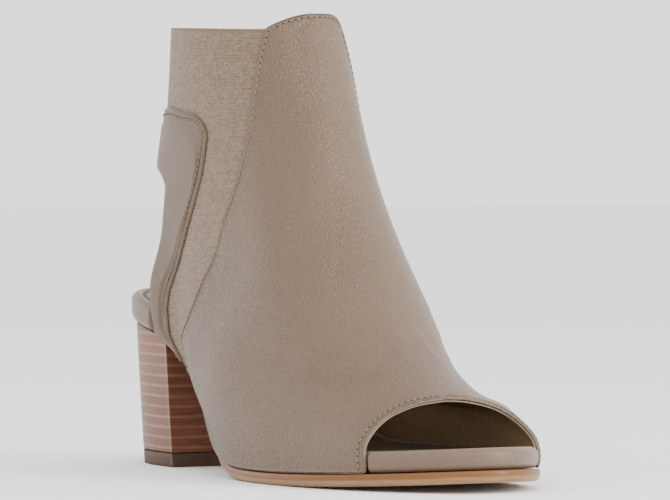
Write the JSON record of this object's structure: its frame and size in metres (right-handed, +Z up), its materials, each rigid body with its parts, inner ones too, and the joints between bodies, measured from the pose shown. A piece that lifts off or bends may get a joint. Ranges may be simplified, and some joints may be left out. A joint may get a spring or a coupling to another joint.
{
  "type": "ankle boot",
  "caption": "Open toe ankle boot with elastic side panels, a cut-out back and a stacked block heel, right foot.",
  "frame": {"origin": "middle of the footprint's bounding box, on the floor", "axes": "+X to the toe, +Y to the inner side of the foot, +Z up"},
  "size_m": [0.2416, 0.0874, 0.1689],
  "materials": {
    "sole_leather": "satin",
    "footbed_leather": "satin",
    "stacked_leather": "satin",
    "lift_rubber": "matte",
    "elastic": "matte",
    "upper_leather": "satin"
  },
  "bodies": {
    "root": {"outsole": "sole_leather", "insole": "footbed_leather", "heel": "stacked_leather", "top_lift": "lift_rubber", "upper": "elastic", "vamp": "upper_leather", "heel_strap": "upper_leather"}
  },
  "joints": []
}
